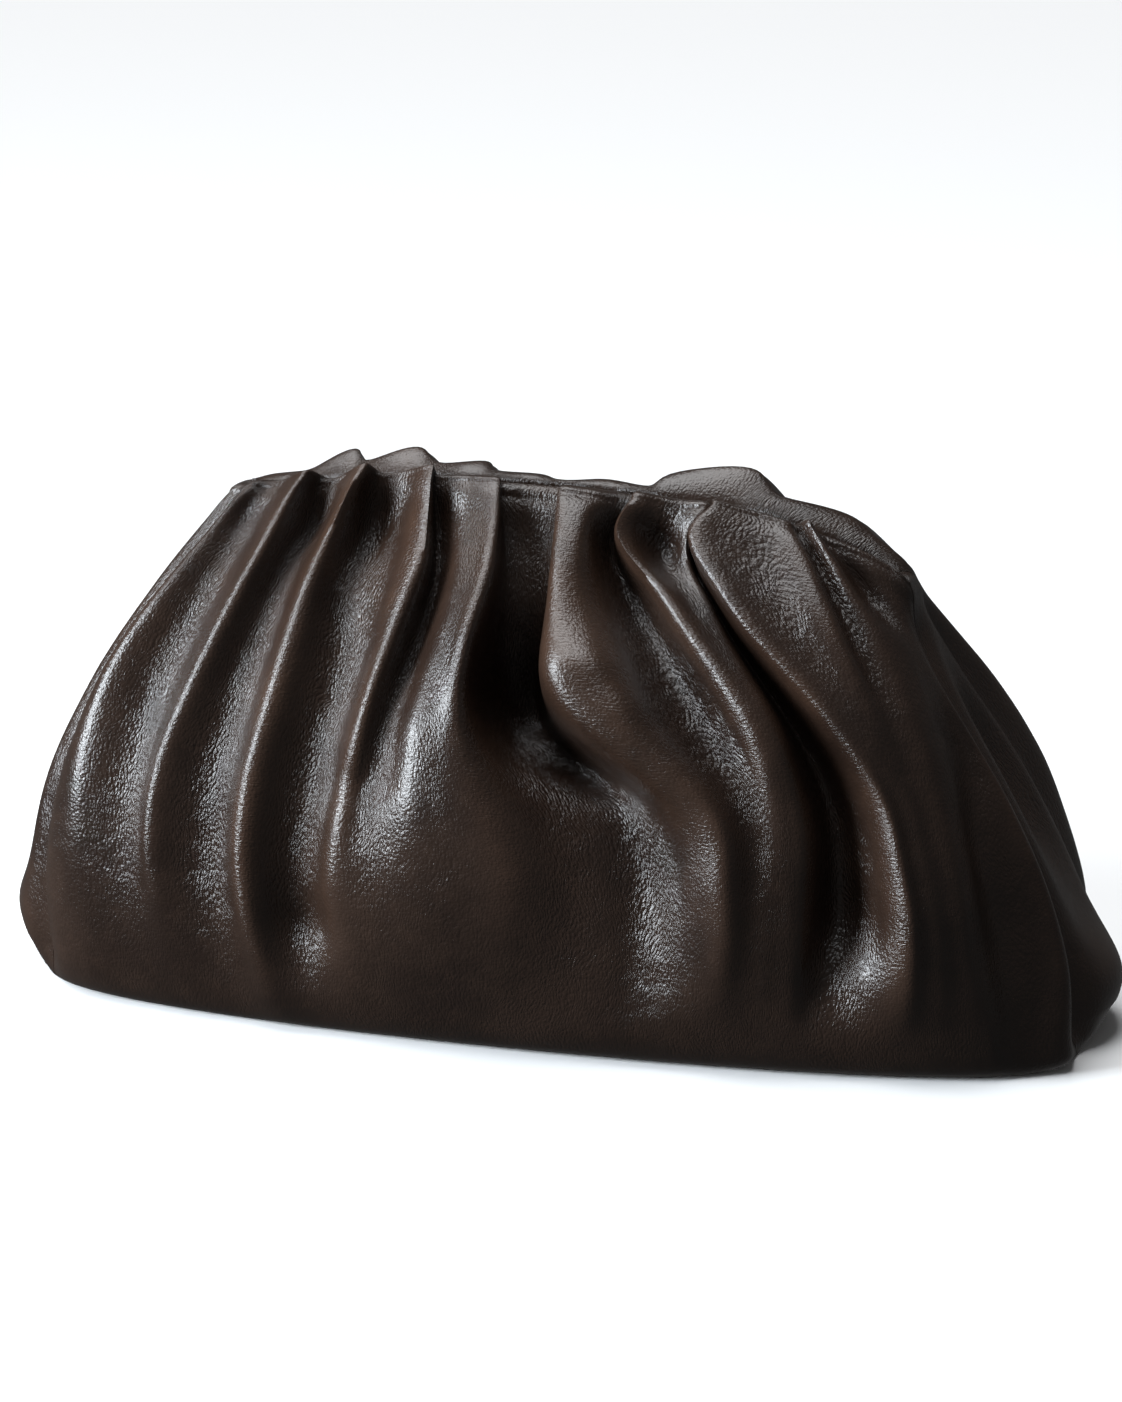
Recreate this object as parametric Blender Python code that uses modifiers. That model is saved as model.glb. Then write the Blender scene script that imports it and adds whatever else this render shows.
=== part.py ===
"""Gathered leather pouch bag, held shut along a straight mouth and standing on its base.

Metres, +Z up, origin at the middle of the base's underside. The bag's length lies
along X and its front faces -Y. The leather is worked out as one closed loop of
sections round the bag, from the under edge to the rim, and each panel is a
stretch of that loop between two seams.
"""

from collections import namedtuple

import bpy
import numpy as np

# Driving sizes of the body
BODY_LENGTH = 0.386  # across the widest stretch, without the corner ears
BODY_DEPTH = 0.160  # front to back across the belly
RIM_HEIGHT = 0.1815  # ground to the middle of the rim
RIM_LENGTH = 0.244  # end to end of the gathered rim
MOUTH_GAP = 0.0072  # clear slit between the front and the back hem
RIM_ARCH = 0.0113  # how much lower the ends of the rim lie than its middle
RIM_TILT = 0.0037  # how much higher the left end is than the right end
RIM_DROOP = 0.0100  # how far the rim sinks at its right end
END_DRAW = 0.0176  # how far the right end is drawn in at its most

# Leather and seams
WALL = 0.0018  # leather with its lining
SEAM_GAP = 0.0004  # clear gap between two panels at a seam
SEAM_DIP = 0.0050  # how far a side seam is drawn in
SEAM_REACH = 0.0110  # width of the leather drawn in beside a seam
ROLL_HEIGHT = 0.0026  # rise of the leather rolled over the rim
HEM_DROP = 0.0130  # turned edge inside the mouth

# Gathers
FOLD_HEIGHT = 0.0170  # unit of the fold tables' heights
PLEAT_LAP = 0.0055  # unit of the fold tables' laps
RIM_STEP = 0.0050  # unit of the fold tables' lifts
RISING_SHARE = 0.75  # how early a fold's side reaches half its height when it rises
FALLING_SHARE = 0.90  # and when it falls
STRAIGHTNESS = 0.65  # share of a fold's side that is straight

# Corner ears of the gussets
EAR_REACH = 0.0100  # how far an ear stands out past the body
EAR_HEIGHT = 0.0260  # height of its middle above the ground
EAR_SPREAD = 0.0180  # half its height
GUSSET_TUCK = 0.0100  # how far the gusset folds in above the ear
TUCK_HEIGHT = 0.0920  # height of the middle of that fold above the ground
TUCK_SPREAD = 0.0330  # half its height

# Closing frame inside the rolled rim
FRAME_THICKNESS = 0.0020
FRAME_HEIGHT = 0.0090
FRAME_CLEARANCE = 0.0004
FRAME_BELOW_RIM = 0.0038

# The rim's leather, the frame in it and the hem, from its outer to its inner face
HEM_INSET = 2 * WALL + FRAME_THICKNESS + 2 * FRAME_CLEARANCE
RIM_DEPTH = MOUTH_GAP + 2 * HEM_INSET

# Seams round the loop, as places on the front and back halves (-1 left end, 1 right end)
FRONT_LEFT_SEAM = -0.82
FRONT_RIGHT_SEAM = 0.95
BACK_LEFT_SEAM = -0.90
BACK_RIGHT_SEAM = 0.90

LEATHER = (0.045, 0.030, 0.024, 1.0)
BASE_LEATHER = (0.030, 0.020, 0.016, 1.0)
STEEL = (0.30, 0.29, 0.28, 1.0)

# One row for each level up the body. height is a share of RIM_HEIGHT; depth and
# length are shares of the way from the rim's size (0) to the body's size (1);
# fullness squares the plan's corners as it falls; draw is a share of END_DRAW.
Level = namedtuple("Level", "up height depth length fullness draw")
LEVELS = (
    Level(0.00, 0.000, 0.84, 0.92, 0.40, 0.00),
    Level(0.06, 0.018, 0.90, 0.945, 0.40, 0.00),
    Level(0.13, 0.065, 0.96, 0.972, 0.42, 0.18),
    Level(0.26, 0.200, 1.00, 1.00, 0.46, 0.55),
    Level(0.42, 0.400, 0.92, 0.93, 0.48, 0.95),
    Level(0.60, 0.610, 0.71, 0.70, 0.46, 1.00),
    Level(0.78, 0.805, 0.40, 0.38, 0.40, 0.73),
    Level(0.92, 0.945, 0.10, 0.12, 0.26, 0.27),
    Level(1.00, 1.000, 0.00, 0.00, 0.12, 0.00),
)

# Bands up the body over which the leather turns under the bag and into the rim
FOOT_BAND = 0.13
RIM_BAND = 0.13

# Stations up the body at which the fold tables give places and heights
STATIONS = (0.12, 0.26, 0.38, 0.50, 0.64, 0.82, 0.91, 1.00)

# One row for each ridge or hollow of the gathers, from left to right. place is
# given at the stations, from the lowest to the rim, and height likewise, in
# units of FOLD_HEIGHT. lift is how far the rim stands up there, in units of
# RIM_STEP; lap is in units of PLEAT_LAP, to the right when positive; breadth is
# the row's share of the way to its neighbours.
Fold = namedtuple("Fold", "name place height lift lap breadth")
FRONT_FOLDS = (
    Fold("left_edge", (-0.82, -0.82, -0.82, -0.82, -0.82, -0.82, -0.82, -0.82),
         (0.0, 0.0, 0.0, 0.0, 0.0, 0.0, 0.04, 0.1), 0.0, 0.0, 1.0),
    Fold("outer_ridge", (-0.63, -0.63, -0.64, -0.67, -0.71, -0.75, -0.762, -0.77),
         (0.1, 0.2, 0.4, 0.6, 0.8, 0.7, 0.52, 0.3), 0.2, 0.3, 1.3),
    Fold("outer_hollow", (-0.52, -0.51, -0.515, -0.53, -0.56, -0.6, -0.629, -0.66),
         (0.0, 0.1, 0.1, 0.1, 0.1, 0.0, 0.04, 0.1), 0.2, 0.0, 1.0),
    Fold("second_ridge", (-0.46, -0.46, -0.47, -0.487, -0.505, -0.53, -0.54, -0.555),
         (0.0, 0.1, 0.35, 0.5, 0.6, 0.6, 0.6, 0.5), 0.7, 0.4, 0.6),
    Fold("second_hollow", (-0.41, -0.42, -0.435, -0.45, -0.468, -0.498, -0.505, -0.525),
         (0.0, 0.0, -0.15, -0.25, -0.3, -0.3, -0.3, 0.0), 0.2, 0.0, 0.9),
    Fold("third_ridge", (-0.29, -0.3, -0.33, -0.352, -0.38, -0.412, -0.4, -0.405),
         (0.0, 0.15, 0.5, 0.65, 0.7, 0.7, 0.7, 0.5), 1.2, 0.5, 0.6),
    Fold("third_hollow", (-0.25, -0.265, -0.3, -0.33, -0.35, -0.385, -0.366, -0.372),
         (0.0, -0.4, -0.6, -0.6, -0.5, -0.4, -0.45, 0.0), 0.7, 0.0, 0.9),
    Fold("fourth_ridge", (-0.2, -0.21, -0.215, -0.225, -0.21, -0.21, -0.238, -0.27),
         (0.0, 0.2, 0.5, 0.6, 0.9, 0.9, 0.75, 0.5), 1.1, 0.9, 0.6),
    Fold("fourth_hollow", (-0.17, -0.175, -0.18, -0.2, -0.185, -0.185, -0.218, -0.252),
         (0.0, 0.2, 0.4, 0.2, -0.4, -0.4, -0.21, 0.1), 0.5, 0.0, 0.7),
    Fold("fifth_shoulder", (-0.1, -0.1, -0.1, -0.12, -0.13, -0.135, -0.151, -0.17),
         (0.0, 0.2, 0.5, 0.7, 0.6, 0.4, 0.34, 0.3), 0.4, 0.0, 1.2),
    Fold("fifth_ridge", (-0.02, -0.01, 0.0, -0.04, -0.085, -0.1, -0.118, -0.14),
         (0.0, 0.2, 0.5, 0.7, 0.9, 0.8, 0.62, 0.4), 0.3, 0.8, 0.8),
    Fold("centre_hollow_left", (0.06, 0.07, 0.06, 0.035, -0.05, -0.065, -0.091, -0.122),
         (0.0, 0.0, -0.3, -0.5, -1.2, -0.5, -0.24, 0.0), -0.2, 0.0, 0.9),
    Fold("centre_hollow_right", (0.12, 0.14, 0.12, 0.09, -0.005, -0.01, -0.008, -0.005),
         (0.0, -0.1, -0.7, -1.0, -1.5, -0.6, -0.28, 0.0), -0.3, 0.0, 0.9),
    Fold("great_fold_edge", (0.16, 0.17, 0.2, 0.19, 0.05, 0.035, 0.028, 0.02),
         (0.0, 0.1, 0.4, 0.5, 1.0, 0.8, 0.61, 0.4), 0.0, -0.6, 0.8),
    Fold("great_fold_back", (0.19, 0.2, 0.245, 0.25, 0.14, 0.065, 0.058, 0.06),
         (0.0, 0.2, 0.6, 0.7, 1.0, 0.8, 0.59, 0.35), -0.1, 0.0, 1.2),
    Fold("sixth_hollow", (0.31, 0.32, 0.325, 0.3, 0.225, 0.14, 0.09, 0.125),
         (0.0, 0.1, 0.2, 0.1, -0.3, -0.7, -0.5, 0.0), 0.0, 0.0, 1.0),
    Fold("sixth_ridge", (0.36, 0.36, 0.37, 0.36, 0.32, 0.205, 0.125, 0.155),
         (0.0, 0.1, 0.3, 0.4, 0.7, 0.9, 0.8, 0.5), 0.2, -0.6, 0.6),
    Fold("sixth_cup", (0.38, 0.38, 0.395, 0.38, 0.345, 0.245, 0.18, 0.22),
         (0.0, 0.1, 0.3, 0.4, 0.6, 0.1, -0.2, 0.15), 0.2, 0.0, 0.9),
    Fold("sixth_lip", (0.394, 0.4, 0.42, 0.41, 0.37, 0.268, 0.222, 0.272),
         (0.0, 0.1, 0.3, 0.4, 0.4, 0.2, 0.25, 0.35), 0.4, 0.3, 0.6),
    Fold("seventh_hollow", (0.415, 0.425, 0.445, 0.44, 0.4, 0.288, 0.242, 0.297),
         (0.0, -0.1, -0.9, -1.0, -0.9, -0.7, -0.35, 0.0), 0.0, 0.0, 0.8),
    Fold("seventh_ridge", (0.46, 0.49, 0.53, 0.535, 0.48, 0.318, 0.262, 0.316),
         (0.0, 0.2, 0.5, 0.5, 0.7, 0.9, 0.75, 0.5), 0.5, -0.6, 0.8),
    Fold("seventh_saddle", (0.5, 0.52, 0.55, 0.56, 0.53, 0.42, 0.39, 0.39),
         (0.0, 0.2, 0.4, 0.4, 0.6, 0.5, 0.41, 0.3), 0.4, 0.0, 1.2),
    Fold("seventh_back", (0.54, 0.55, 0.575, 0.585, 0.565, 0.505, 0.475, 0.45),
         (0.0, 0.2, 0.4, 0.4, 0.5, 0.8, 0.65, 0.4), 0.15, 0.3, 0.9),
    Fold("eighth_hollow", (0.58, 0.58, 0.6, 0.61, 0.6, 0.55, 0.51, 0.475),
         (0.0, 0.1, 0.3, 0.3, 0.4, 0.2, 0.14, 0.1), 0.2, 0.0, 1.0),
    Fold("eighth_ridge", (0.62, 0.61, 0.62, 0.64, 0.66, 0.61, 0.55, 0.505),
         (0.0, 0.1, 0.3, 0.3, 0.4, 0.4, 0.5, 0.4), 0.9, 0.0, 0.9),
    Fold("eighth_crease", (0.66, 0.65, 0.65, 0.68, 0.73, 0.71, 0.64, 0.54),
         (0.0, 0.0, 0.1, 0.1, 0.2, 0.25, -0.15, 0.05), 0.1, 0.0, 0.8),
    Fold("right_hollow", (0.7, 0.69, 0.68, 0.72, 0.83, 0.81, 0.78, 0.72),
         (-0.1, -0.2, -0.3, -0.3, -0.1, 0.1, 0.1, 0.1), 0.35, 0.0, 1.2),
    Fold("right_ridge", (0.86, 0.87, 0.88, 0.885, 0.9, 0.88, 0.87, 0.86),
         (0.2, 0.4, 0.4, 0.3, 0.2, 0.1, 0.1, 0.1), 0.4, 0.0, 1.0),
    Fold("right_edge", (0.95, 0.95, 0.95, 0.95, 0.95, 0.95, 0.95, 0.95),
         (0.0, 0.0, 0.0, 0.0, 0.0, 0.0, 0.04, 0.1), 0.1, 0.0, 1.0),
)
BACK_FOLDS = (
    Fold("left_edge", (-0.9, -0.9, -0.9, -0.9, -0.9, -0.9, -0.9, -0.9),
         (0.0, 0.0, 0.0, 0.0, 0.0, 0.0, 0.04, 0.1), -0.3, 0.0, 1.0),
    Fold("first_ridge", (-0.66, -0.66, -0.66, -0.67, -0.68, -0.7, -0.71, -0.72),
         (0.0, 0.2, 0.4, 0.6, 0.6, 0.6, 0.49, 0.3), -0.4, 0.0, 1.1),
    Fold("first_hollow", (-0.55, -0.55, -0.55, -0.56, -0.57, -0.58, -0.589, -0.6),
         (0.0, 0.0, -0.5, -0.6, -0.7, -0.4, -0.14, 0.15), 0.0, 0.0, 0.9),
    Fold("second_ridge", (-0.41, -0.41, -0.42, -0.43, -0.44, -0.45, -0.455, -0.5),
         (0.0, 0.1, 0.4, 0.6, 0.8, 0.8, 0.67, 0.45), 0.95, 0.2, 0.9),
    Fold("second_hollow", (-0.33, -0.33, -0.34, -0.35, -0.36, -0.37, -0.382, -0.44),
         (0.0, -0.1, -0.7, -0.8, -0.8, -0.5, -0.22, 0.1), 0.6, 0.0, 0.8),
    Fold("third_ridge", (-0.21, -0.22, -0.23, -0.25, -0.26, -0.29, -0.296, -0.35),
         (0.0, 0.2, 0.4, 0.7, 0.9, 0.9, 0.75, 0.5), 0.9, 0.2, 0.9),
    Fold("third_hollow", (-0.13, -0.14, -0.15, -0.17, -0.19, -0.21, -0.222, -0.275),
         (0.0, 0.0, -0.3, -0.6, -0.7, -0.5, -0.22, 0.1), 0.4, 0.0, 0.8),
    Fold("fourth_ridge", (-0.04, -0.05, -0.07, -0.09, -0.11, -0.14, -0.17, -0.2),
         (0.0, 0.1, 0.4, 0.6, 0.8, 0.8, 0.65, 0.4), 0.15, 0.2, 0.9),
    Fold("fourth_hollow", (0.03, 0.02, 0.0, -0.02, -0.04, -0.07, -0.12, -0.158),
         (0.0, 0.0, -0.4, -0.7, -0.6, -0.5, -0.23, 0.1), -0.05, 0.0, 0.8),
    Fold("fifth_ridge", (0.11, 0.1, 0.08, 0.06, 0.04, 0.0, -0.04, -0.085),
         (0.0, 0.1, 0.4, 0.6, 0.7, 0.6, 0.42, 0.2), -0.25, 0.2, 0.9),
    Fold("fifth_hollow", (0.18, 0.17, 0.15, 0.13, 0.11, 0.07, 0.02, -0.03),
         (0.0, -0.1, -0.7, -0.9, -0.8, -0.5, -0.24, 0.05), -0.6, 0.0, 0.8),
    Fold("sixth_ridge", (0.24, 0.23, 0.22, 0.2, 0.18, 0.14, 0.1, 0.06),
         (0.0, 0.2, 0.4, 0.5, 0.7, 0.6, 0.46, 0.3), -0.35, -0.3, 0.9),
    Fold("sixth_hollow", (0.31, 0.3, 0.29, 0.27, 0.25, 0.22, 0.17, 0.145),
         (0.0, 0.0, -0.4, -0.6, -0.6, -0.4, -0.17, 0.1), -0.2, 0.0, 0.8),
    Fold("seventh_corner", (0.34, 0.335, 0.325, 0.31, 0.3, 0.26, 0.21, 0.17),
         (0.0, 0.1, 0.1, 0.1, 0.2, 0.3, 0.4, 0.4), 0.4, -0.2, 0.7),
    Fold("seventh_ridge", (0.4, 0.39, 0.38, 0.37, 0.36, 0.34, 0.32, 0.29),
         (0.0, 0.2, 0.5, 0.7, 0.9, 1.0, 0.85, 0.6), 1.4, 0.4, 1.3),
    Fold("seventh_hollow", (0.5, 0.49, 0.48, 0.47, 0.46, 0.45, 0.42, 0.4),
         (0.0, 0.0, -0.5, -0.8, -0.8, -0.4, -0.11, 0.2), 0.8, 0.0, 0.8),
    Fold("eighth_ridge", (0.59, 0.58, 0.58, 0.58, 0.58, 0.58, 0.56, 0.54),
         (0.0, 0.1, 0.4, 0.6, 0.7, 0.8, 0.67, 0.45), 0.35, 0.4, 1.1),
    Fold("eighth_hollow", (0.68, 0.68, 0.68, 0.68, 0.69, 0.7, 0.7, 0.7),
         (0.0, 0.0, -0.3, -0.4, -0.4, -0.2, -0.03, 0.15), 0.35, 0.0, 0.9),
    Fold("ninth_ridge", (0.78, 0.78, 0.78, 0.78, 0.78, 0.79, 0.795, 0.8),
         (0.0, 0.2, 0.3, 0.4, 0.4, 0.3, 0.25, 0.2), -0.1, 0.0, 1.0),
    Fold("right_edge", (0.9, 0.9, 0.9, 0.9, 0.9, 0.9, 0.9, 0.9),
         (0.0, 0.0, 0.0, 0.0, 0.0, 0.0, 0.04, 0.1), -0.4, 0.0, 1.0),
)

# Mesh density
COLUMNS_PER_FOLD = 2
GUSSET_COLUMNS = 8
ROLL_ROWS = 3
HEM_ROWS = 1
ROWS_UP = (
    0.0, 0.03, 0.06, 0.09, 0.13, 0.19, 0.26, 0.33, 0.40, 0.47,
    0.54, 0.61, 0.68, 0.75, 0.81, 0.87, 0.92, 0.96, 1.0,
)
FRAME_COLUMNS = 96

# Steps in place and level over which the body's directions are measured
PLACE_STEP = 0.001
LEVEL_STEP = 0.02

FRONT, BACK = -1, 1


def smooth_through(marks, values, at):
    """Values at the marks joined by a smooth curve, read at the given places."""
    marks, values = np.asarray(marks, float), np.asarray(values, float)
    slopes = np.diff(values) / np.diff(marks)
    tangents = np.concatenate([slopes[:1], (slopes[:-1] + slopes[1:]) / 2, slopes[-1:]])
    turns = np.flatnonzero(slopes[:-1] * slopes[1:] <= 0) + 1
    tangents[turns] = 0.0
    at = np.clip(at, marks[0], marks[-1])
    i = np.clip(np.searchsorted(marks, at, side="right") - 1, 0, len(marks) - 2)
    step = marks[i + 1] - marks[i]
    u = (at - marks[i]) / step
    start = (2 * u**3 - 3 * u**2 + 1) * values[i] + (u**3 - 2 * u**2 + u) * step * tangents[i]
    end = (3 * u**2 - 2 * u**3) * values[i + 1] + (u**3 - u**2) * step * tangents[i + 1]
    return start + end


def level_at(up):
    """Height, half depth, half length, fullness and end draw of the plan at a level."""
    marks = [row.up for row in LEVELS]
    height, depth, length, fullness, draw = (
        smooth_through(marks, [getattr(row, name) for row in LEVELS], up)
        for name in ("height", "depth", "length", "fullness", "draw")
    )
    half_depth = (RIM_DEPTH + (BODY_DEPTH - RIM_DEPTH) * depth) / 2
    half_length = (RIM_LENGTH + (BODY_LENGTH - RIM_LENGTH) * length) / 2
    return height * RIM_HEIGHT, half_depth, half_length, fullness, draw * END_DRAW


def plan_x_share(place):
    return np.sin(np.pi * place / 2)


def plan_y_share(place, fullness):
    return np.maximum(np.cos(np.pi * place / 2), 0.0) ** fullness


def drawn_x(half_length, draw, x_share):
    """Distance along the bag, shortened towards the drawn-in right end."""
    return half_length * x_share - draw * np.maximum(x_share, 0.0) ** 2


def raised(height, x_share):
    """Height with the rim's arch, tilt and droop, which fade towards the ground."""
    share = height / RIM_HEIGHT
    droop = RIM_DROOP * np.maximum(x_share, 0.0) ** 6
    return height - (RIM_ARCH * x_share**2 + RIM_TILT * x_share + droop) * share**2


def body_point(place, up, side):
    """The smooth body without folds, at a place on its front or back half."""
    height, half_depth, half_length, fullness, draw = level_at(up)
    x_share = plan_x_share(place)
    x = drawn_x(half_length, draw, x_share)
    y = side * half_depth * plan_y_share(place, fullness)
    return np.stack(np.broadcast_arrays(x, y, raised(height, x_share)), -1)


def unit(vectors):
    return vectors / np.linalg.norm(vectors, axis=-1, keepdims=True)


def body_directions(place, up, side):
    """Outward and left-to-right directions of the smooth body."""
    across = body_point(place + PLACE_STEP, up, side) - body_point(place - PLACE_STEP, up, side)
    low, high = np.maximum(up - LEVEL_STEP, 0.0), np.minimum(up + LEVEL_STEP, 1.0)
    along = body_point(place, high, side) - body_point(place, low, side)
    outward = np.cross(across, along) * -side
    outward[..., 2] = np.maximum(outward[..., 2], 0.0)
    return unit(outward), unit(across)


def fold_grid(folds, up, columns_per_fold):
    """Place, height, lift and lap of every column of a panel, at each of its rows."""
    def at_stations(values, foot):
        return smooth_through((0.0, *STATIONS), (foot, *values), up)

    places = np.stack([at_stations(f.place, f.place[0]) for f in folds], 1)
    heights = np.stack([at_stations(f.height, 0.0) for f in folds], 1) * FOLD_HEIGHT
    lap_fade = np.clip((up - STATIONS[3]) / (STATIONS[5] - STATIONS[3]), 0.0, 1.0)
    laps = np.stack([f.lap * PLEAT_LAP * lap_fade for f in folds], 1)
    rim_fade = np.clip((up - 1.0) / RIM_BAND + 1.0, 0.0, 1.0)
    lifts = np.stack([f.lift * RIM_STEP * rim_fade for f in folds], 1)
    tables = places, heights, lifts, laps
    columns = [[] for _ in tables]
    for k in range(len(folds) - 1):
        falls = heights[len(up) // 2, k] > heights[len(up) // 2, k + 1]
        middle = folds[k].breadth / (folds[k].breadth + folds[k + 1].breadth)
        bend = np.log(0.5) / np.log(middle * (FALLING_SHARE if falls else RISING_SHARE))
        for i in range(columns_per_fold):
            share = i / columns_per_fold
            round_side = (1 - np.cos(np.pi * share**bend)) / 2
            side = round_side + (share**bend - round_side) * STRAIGHTNESS
            for column, table, part in zip(columns, tables, (share, side, side, side)):
                column.append(table[:, k] + (table[:, k + 1] - table[:, k]) * part)
    for column, table in zip(columns, tables):
        column.append(table[:, -1])
    return [np.stack(column, 1) for column in columns]


def seam_weights(points):
    """How strongly each point of a panel's rows follows its first and its last edge."""
    steps = np.linalg.norm(np.diff(points, axis=1), axis=-1)
    from_first = np.concatenate([np.zeros((len(points), 1)), np.cumsum(steps, 1)], 1)
    from_last = from_first[:, -1:] - from_first
    return [np.exp(-2 * (distance / SEAM_REACH) ** 2) for distance in (from_first, from_last)]


def dip_fade(up):
    """Seams are flat under the bag and under the rim, where nothing draws them in."""
    return np.clip(up / FOOT_BAND, 0.0, 1.0) * np.clip((1.0 - up) / RIM_BAND, 0.0, 1.0)


def panel_rows(folds, side):
    """Rows of points of a panel's outer face, from the under edge to the rim."""
    up = np.array(ROWS_UP)
    place, height, lift, lap = fold_grid(folds, up, COLUMNS_PER_FOLD)
    level = np.repeat(up[:, None], place.shape[1], 1)
    points = body_point(place, level, side)
    outward, across = body_directions(place, level, side)
    height = height - SEAM_DIP * np.maximum(*seam_weights(points)) * dip_fade(level)
    points = points + outward * height[..., None] + across * lap[..., None]
    points[..., 2] += lift
    return points, place


def hem_line(place, side, inset):
    """A line inside the rim at a named inset from its outer face."""
    _, half_depth, half_length, fullness, _ = level_at(np.array(1.0))
    x_share = plan_x_share(place)
    x = (half_length - inset) * x_share
    y = side * np.maximum(half_depth * plan_y_share(place, fullness) - inset, 0.0)
    return np.stack([x, y, raised(RIM_HEIGHT, x_share)], -1)


def with_rolled_rim(points, inner):
    """Adds the roll over the rim and the hem that hangs inside the mouth."""
    outer = points[-1]
    middle, half = (outer + inner) / 2, (outer - inner) / 2
    rows = [points]
    for i in range(1, ROLL_ROWS + 1):
        turn = np.pi * i / (ROLL_ROWS + 1)
        arc = middle + half * np.cos(turn)
        arc[:, 2] += ROLL_HEIGHT * np.sin(turn)
        rows.append(arc[None])
    for i in range(HEM_ROWS + 1):
        hem = inner.copy()
        hem[:, 2] -= HEM_DROP * i / HEM_ROWS
        rows.append(hem[None])
    return np.concatenate(rows, 0)


def seam_gap(before, after):
    """Half the gap at a seam, row by row, wider where the corner would close it inside."""
    one = unit(before[:, -1] - before[:, -2])
    two = unit(after[:, 1] - after[:, 0])
    turn = np.arccos(np.clip(np.sum(one * two, -1), -1.0, 1.0))
    outward = after[:, 0] * (1, 1, 0)
    bulges = np.sum((two - one) * outward, -1) < 0
    return SEAM_GAP / 2 + np.where(bulges, WALL * np.tan(turn / 2), 0.0)


def trimmed(points, first_gap, last_gap):
    """Draws the side and under edges back from their seams."""
    points = points.copy()
    first_gap, last_gap = (
        np.pad(gap, (0, len(points) - len(gap)), mode="edge")[:, None] for gap in (first_gap, last_gap)
    )
    points[:, 0] += unit(points[:, 1] - points[:, 0]) * first_gap
    points[:, -1] += unit(points[:, -2] - points[:, -1]) * last_gap
    points[0] += unit(points[1] - points[0]) * SEAM_GAP / 2
    return points


def material(name, colour, roughness, metallic=0.0):
    made = bpy.data.materials.new(name)
    made.use_nodes = True
    shader = made.node_tree.nodes["Principled BSDF"]
    shader.inputs["Base Color"].default_value = colour
    shader.inputs["Roughness"].default_value = roughness
    shader.inputs["Metallic"].default_value = metallic
    return made


def sheet_object(name, points, finish, collection, thickness=WALL, closed=False):
    """A wall of leather or steel: a grid of points given its thickness by Solidify."""
    rows, columns = points.shape[:2]
    last = columns if closed else columns - 1
    faces = []
    for low in range(0, (rows - 1) * columns, columns):
        high = low + columns
        for here in range(last):
            beside = (here + 1) % columns
            faces.append((low + here, low + beside, high + beside, high + here))
    mesh = bpy.data.meshes.new(name)
    mesh.from_pydata([tuple(p) for p in points.reshape(-1, 3)], [], faces)
    mesh.materials.append(finish)
    mesh.shade_smooth()
    made = bpy.data.objects.new(name, mesh)
    collection.objects.link(made)
    solid = made.modifiers.new("wall", "SOLIDIFY")
    solid.thickness = thickness
    solid.offset = -1.0
    return made


def gusset_rows(end, front_edge, back_edge, front_seam, back_seam):
    """Rows of a gusset's outer face round one end (-1 left, 1 right), and its hem line."""
    up = np.array(ROWS_UP)[:, None]
    height, half_depth, half_length, fullness, draw = level_at(up)
    y_front = -half_depth * plan_y_share(front_seam, fullness)
    y_back = half_depth * plan_y_share(back_seam, fullness)
    share = np.linspace(0.0, 1.0, GUSSET_COLUMNS + 1)[None, :]
    y = y_front + (y_back - y_front) * share
    x_share = np.sqrt(1 - (np.abs(y) / half_depth) ** (2 / fullness))
    z = raised(height, end * x_share)
    bow = np.sin(np.pi * share)
    ear = EAR_REACH * bow * np.exp(-(((z - EAR_HEIGHT) / EAR_SPREAD) ** 2))
    tuck = GUSSET_TUCK * bow**3 * np.exp(-(((z - TUCK_HEIGHT) / TUCK_SPREAD) ** 2))
    x = drawn_x(half_length, draw, end * x_share)
    x = x + end * (ear - tuck) * np.clip(up / FOOT_BAND, 0.0, 1.0)
    points = np.stack(np.broadcast_arrays(x, y, z), -1)
    shifts = front_edge - points[:, 0], back_edge - points[:, -1]
    for shift, weight in zip(shifts, seam_weights(points)):
        points = points + shift[:, None] * weight[..., None]
    hem_x = end * (half_length[-1] - HEM_INSET) * x_share[-1]
    hem_y = y[-1] + HEM_INSET * (1 - 2 * share[0])
    return points, np.stack([hem_x, hem_y, raised(RIM_HEIGHT, end * x_share[-1])], -1)


def base_panel(feet, finish, collection):
    """Flat leather base, the face that the bag stands on, inside the panels' feet."""
    outline = np.concatenate([foot[:-1] for foot in feet])
    along = np.roll(outline, -1, 0) - np.roll(outline, 1, 0)
    inward = unit(np.stack([-along[:, 1], along[:, 0], 0 * along[:, 0]], -1))
    outline = outline + inward * (WALL + SEAM_GAP)
    outline[:, 2] = 0.0
    mesh = bpy.data.meshes.new("base_panel")
    mesh.from_pydata([tuple(p) for p in outline], [], [tuple(range(len(outline)))])
    mesh.materials.append(finish)
    made = bpy.data.objects.new("base_panel", mesh)
    collection.objects.link(made)
    solid = made.modifiers.new("wall", "SOLIDIFY")
    solid.thickness = WALL
    solid.offset = 1.0
    return made


def mouth_frame(finish, collection):
    """Flat steel loop in the rolled rim, which keeps the mouth straight and shut."""
    inset = WALL + FRAME_CLEARANCE
    turn = np.linspace(0.0, 4.0, FRAME_COLUMNS, endpoint=False)
    side = np.where(turn < 2.0, FRONT, BACK)
    place = np.where(turn < 2.0, turn - 1.0, 3.0 - turn)
    top = hem_line(place, side, inset)
    top[:, 2] -= FRAME_BELOW_RIM
    foot = top.copy()
    foot[:, 2] -= FRAME_HEIGHT
    return sheet_object(
        "mouth_frame", np.stack([foot, top]), finish, collection, FRAME_THICKNESS, closed=True
    )


def clear_scene():
    for old in list(bpy.data.objects):
        bpy.data.objects.remove(old, do_unlink=True)


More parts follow.
